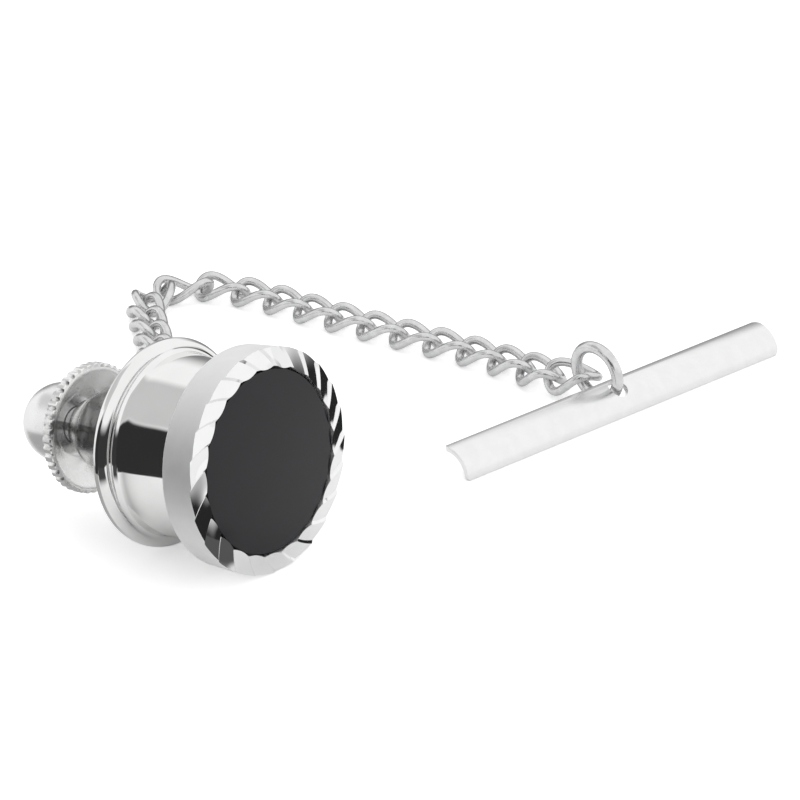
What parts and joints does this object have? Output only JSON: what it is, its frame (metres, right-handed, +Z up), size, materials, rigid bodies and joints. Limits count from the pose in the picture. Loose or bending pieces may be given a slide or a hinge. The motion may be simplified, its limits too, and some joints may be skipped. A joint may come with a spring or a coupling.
{
  "type": "tie pin",
  "caption": "Tie pin with a round black stone head in a faceted rim, a ball-lock clutch with a knurled pull disc, and a curb chain to an arched toggle bar",
  "frame": {"origin": "Centre of the bounding box in plan, on the surface the tie pin lies on", "axes": "+Z up; +X to the right in the picture and +Y away from its camera. The tack lies on its head rim and clutch rim, with its axis 3.6 degrees above level and its stone facing +X and -Y"},
  "size_m": [0.0416, 0.0492, 0.012],
  "materials": {
    "bezel_steel": "polished, with bright cut facets",
    "black_onyx": "smooth flat black stone, satin to gloss",
    "post_steel": "drawn and plated",
    "shell_chrome": "mirror polished plating",
    "hidden_steel": "turned",
    "ball_steel": "polished ball",
    "spring_steel": "drawn wire",
    "disc_steel": "polished, knurled edge",
    "cap_steel": "satin polish",
    "eye_wire": "plated wire",
    "chain_wire": "plated wire, softly polished",
    "ring_wire": "plated wire",
    "bar_steel": "satin polish"
  },
  "bodies": {
    "clutch": {"front_shell": "shell_chrome", "rear_shell": "shell_chrome", "cone_sleeve": "hidden_steel", "chain_eye": "eye_wire"},
    "tack": {"head_bezel": "bezel_steel", "onyx_inlay": "black_onyx", "tack_post": "post_steel"},
    "pull": {"ball_cage": "hidden_steel", "pull_disc": "disc_steel", "end_cap": "cap_steel", "pull_spring": "spring_steel"},
    "ball_1_body": {"ball_1": "ball_steel"},
    "ball_2_body": {"ball_2": "ball_steel"},
    "ball_3_body": {"ball_3": "ball_steel"},
    "link_01_body": {"link_01": "chain_wire"},
    "link_02_body": {"link_02": "chain_wire"},
    "link_03_body": {"link_03": "chain_wire"},
    "link_04_body": {"link_04": "chain_wire"},
    "link_05_body": {"link_05": "chain_wire"},
    "link_06_body": {"link_06": "chain_wire"},
    "link_07_body": {"link_07": "chain_wire"},
    "link_08_body": {"link_08": "chain_wire"},
    "link_09_body": {"link_09": "chain_wire"},
    "link_10_body": {"link_10": "chain_wire"},
    "link_11_body": {"link_11": "chain_wire"},
    "link_12_body": {"link_12": "chain_wire"},
    "link_13_body": {"link_13": "chain_wire"},
    "link_14_body": {"link_14": "chain_wire"},
    "link_15_body": {"link_15": "chain_wire"},
    "link_16_body": {"link_16": "chain_wire"},
    "link_17_body": {"link_17": "chain_wire"},
    "link_18_body": {"link_18": "chain_wire"},
    "link_19_body": {"link_19": "chain_wire"},
    "link_20_body": {"link_20": "chain_wire"},
    "link_21_body": {"link_21": "chain_wire"},
    "link_22_body": {"link_22": "chain_wire"},
    "link_23_body": {"link_23": "chain_wire"},
    "link_24_body": {"link_24": "chain_wire"},
    "link_25_body": {"link_25": "chain_wire"},
    "link_26_body": {"link_26": "chain_wire"},
    "link_27_body": {"link_27": "chain_wire"},
    "ring": {"jump_ring": "ring_wire"},
    "bar": {"toggle_bar": "bar_steel"}
  },
  "joints": [
    {"name": "tack_slide", "type": "slide", "parent": "clutch", "child": "tack", "axis": [0.7589, -0.6481, 0.0636], "range_m": [0, 0.0095]},
    {"name": "pull_slide", "type": "slide", "parent": "clutch", "child": "pull", "axis": [-0.7589, 0.6481, -0.0636], "range_m": [0, 0.0009], "stiffness_N_per_m": 800, "springref_m": -0.0008, "deforming": ["pull_spring"]},
    {"name": "ball_1_slide", "type": "slide", "parent": "pull", "child": "ball_1_body", "axis": [0.6494, 0.7604, 0], "range_m": [0, 0.00025]},
    {"name": "ball_2_slide", "type": "slide", "parent": "pull", "child": "ball_2_body", "axis": [-0.3666, -0.3444, 0.8643], "range_m": [0, 0.00025]},
    {"name": "ball_3_slide", "type": "slide", "parent": "pull", "child": "ball_3_body", "axis": [-0.2829, -0.416, -0.8643], "range_m": [0, 0.00025]},
    {"name": "eye_hinge", "type": "hinge", "parent": "clutch", "child": "link_01_body", "pos_m": [-0.01226, -0.0115, 0.00295], "axis": [-0.3329, -0.47, -0.8175], "range_deg": [-27, 60]},
    {"name": "link_02_hinge", "type": "hinge", "parent": "link_01_body", "child": "link_02_body", "pos_m": [-0.01322, -0.00888, 0.00189], "axis": [0.7842, 0.3026, 0.5418], "range_deg": [-46, 42]},
    {"name": "link_03_hinge", "type": "hinge", "parent": "link_02_body", "child": "link_03_body", "pos_m": [-0.01371, -0.00651, 0.00128], "axis": [-0.7914, 0.0037, 0.6113], "range_deg": [-25, 44]},
    {"name": "link_04_hinge", "type": "hinge", "parent": "link_03_body", "child": "link_04_body", "pos_m": [-0.01392, -0.00403, 0.00098], "axis": [-0.3718, -0.0729, -0.9254], "range_deg": [-46, 44]},
    {"name": "link_05_hinge", "type": "hinge", "parent": "link_04_body", "child": "link_05_body", "pos_m": [-0.01403, -0.00154, 0.00082], "axis": [0.9902, 0.0145, -0.1391], "range_deg": [-37, 32]},
    {"name": "link_06_hinge", "type": "hinge", "parent": "link_05_body", "child": "link_06_body", "pos_m": [-0.01408, 0.00096, 0.00076], "axis": [-0.0002, 0.0126, 0.9999], "range_deg": [-33, 47]},
    {"name": "link_07_hinge", "type": "hinge", "parent": "link_06_body", "child": "link_07_body", "pos_m": [-0.01413, 0.00346, 0.00072], "axis": [-0.9997, -0.0224, 0], "range_deg": [-34, 35]},
    {"name": "link_08_hinge", "type": "hinge", "parent": "link_07_body", "child": "link_08_body", "pos_m": [-0.01418, 0.00596, 0.00072], "axis": [-0.0001, 0.002, -1], "range_deg": [-46, 34]},
    {"name": "link_09_hinge", "type": "hinge", "parent": "link_08_body", "child": "link_09_body", "pos_m": [-0.0143, 0.00846, 0.00073], "axis": [0.9972, 0.0754, 0], "range_deg": [-34, 35]},
    {"name": "link_10_hinge", "type": "hinge", "parent": "link_09_body", "child": "link_10_body", "pos_m": [-0.01449, 0.01095, 0.00073], "axis": [0, 0, 1], "range_deg": [-28, 47]},
    {"name": "link_11_hinge", "type": "hinge", "parent": "link_10_body", "child": "link_11_body", "pos_m": [-0.01471, 0.01344, 0.00073], "axis": [-0.9927, -0.1209, 0], "range_deg": [-35, 34]},
    {"name": "link_12_hinge", "type": "hinge", "parent": "link_11_body", "child": "link_12_body", "pos_m": [-0.01501, 0.01592, 0.00073], "axis": [0, 0, -1], "range_deg": [-47, 25]},
    {"name": "link_13_hinge", "type": "hinge", "parent": "link_12_body", "child": "link_13_body", "pos_m": [-0.01533, 0.0184, 0.00073], "axis": [0.9974, 0.0727, 0], "range_deg": [-35, 35]},
    {"name": "link_14_hinge", "type": "hinge", "parent": "link_13_body", "child": "link_14_body", "pos_m": [-0.01552, 0.02089, 0.00073], "axis": [0, 0, 1], "range_deg": [-19, 76]},
    {"name": "link_15_hinge", "type": "hinge", "parent": "link_14_body", "child": "link_15_body", "pos_m": [-0.0145, 0.02318, 0.00073], "axis": [-0.2422, 0.9702, 0], "range_deg": [-8, 20]},
    {"name": "link_16_hinge", "type": "hinge", "parent": "link_15_body", "child": "link_16_body", "pos_m": [-0.01208, 0.02378, 0.00073], "axis": [0, 0, -1], "range_deg": [-90, 5]},
    {"name": "link_17_hinge", "type": "hinge", "parent": "link_16_body", "child": "link_17_body", "pos_m": [-0.00988, 0.02258, 0.00073], "axis": [-0.6373, -0.7706, 0], "range_deg": [-35, 35]},
    {"name": "link_18_hinge", "type": "hinge", "parent": "link_17_body", "child": "link_18_body", "pos_m": [-0.00796, 0.02099, 0.00073], "axis": [0, 0, 1], "range_deg": [-23, 52]},
    {"name": "link_19_hinge", "type": "hinge", "parent": "link_18_body", "child": "link_19_body", "pos_m": [-0.00617, 0.01924, 0.00073], "axis": [0.6943, 0.7197, 0], "range_deg": [-35, 35]},
    {"name": "link_20_hinge", "type": "hinge", "parent": "link_19_body", "child": "link_20_body", "pos_m": [-0.00437, 0.0175, 0.00073], "axis": [0, 0, -1], "range_deg": [-46, 28]},
    {"name": "link_21_hinge", "type": "hinge", "parent": "link_20_body", "child": "link_21_body", "pos_m": [-0.00251, 0.01583, 0.00073], "axis": [-0.6597, -0.7516, 0], "range_deg": [-34, 35]},
    {"name": "link_22_hinge", "type": "hinge", "parent": "link_21_body", "child": "link_22_body", "pos_m": [-0.00064, 0.01418, 0.00073], "axis": [0.0006, -0.0005, 1], "range_deg": [-36, 47]},
    {"name": "link_23_hinge", "type": "hinge", "parent": "link_22_body", "child": "link_23_body", "pos_m": [0.00126, 0.01255, 0.00073], "axis": [0.662, 0.7495, 0], "range_deg": [-34, 35]},
    {"name": "link_24_hinge", "type": "hinge", "parent": "link_23_body", "child": "link_24_body", "pos_m": [0.00314, 0.0109, 0.00073], "axis": [0.0093, -0.0098, -0.9999], "range_deg": [-52, 43]},
    {"name": "link_25_hinge", "type": "hinge", "parent": "link_24_body", "child": "link_25_body", "pos_m": [0.00486, 0.00909, 0.00076], "axis": [-0.7888, -0.6106, -0.0697], "range_deg": [-36, 33]},
    {"name": "link_26_hinge", "type": "hinge", "parent": "link_25_body", "child": "link_26_body", "pos_m": [0.00638, 0.00711, 0.00088], "axis": [-0.2216, -0.0781, 0.972], "range_deg": [-46, 49]},
    {"name": "link_27_hinge", "type": "hinge", "parent": "link_26_body", "child": "link_27_body", "pos_m": [0.00785, 0.0051, 0.00106], "axis": [0.4549, 0.7874, 0.4161], "range_deg": [-33, 36]},
    {"name": "ring_hinge", "type": "hinge", "parent": "link_27_body", "child": "ring", "pos_m": [0.00938, 0.00378, 0.00131], "axis": [0.7007, 0.7027, 0.1238], "range_deg": [-26, 8]},
    {"name": "bar_hinge", "type": "hinge", "parent": "ring", "child": "bar", "pos_m": [0.01025, 0.00278, 0.00206], "axis": [0.7007, 0.7027, 0.1238], "range_deg": [-120, 2]}
  ],
  "couplings": [
    {"joint": "ball_1_slide", "follows": "pull_slide", "ratio": 0.21256},
    {"joint": "ball_2_slide", "follows": "pull_slide", "ratio": 0.21256},
    {"joint": "ball_3_slide", "follows": "pull_slide", "ratio": 0.21256}
  ]
}
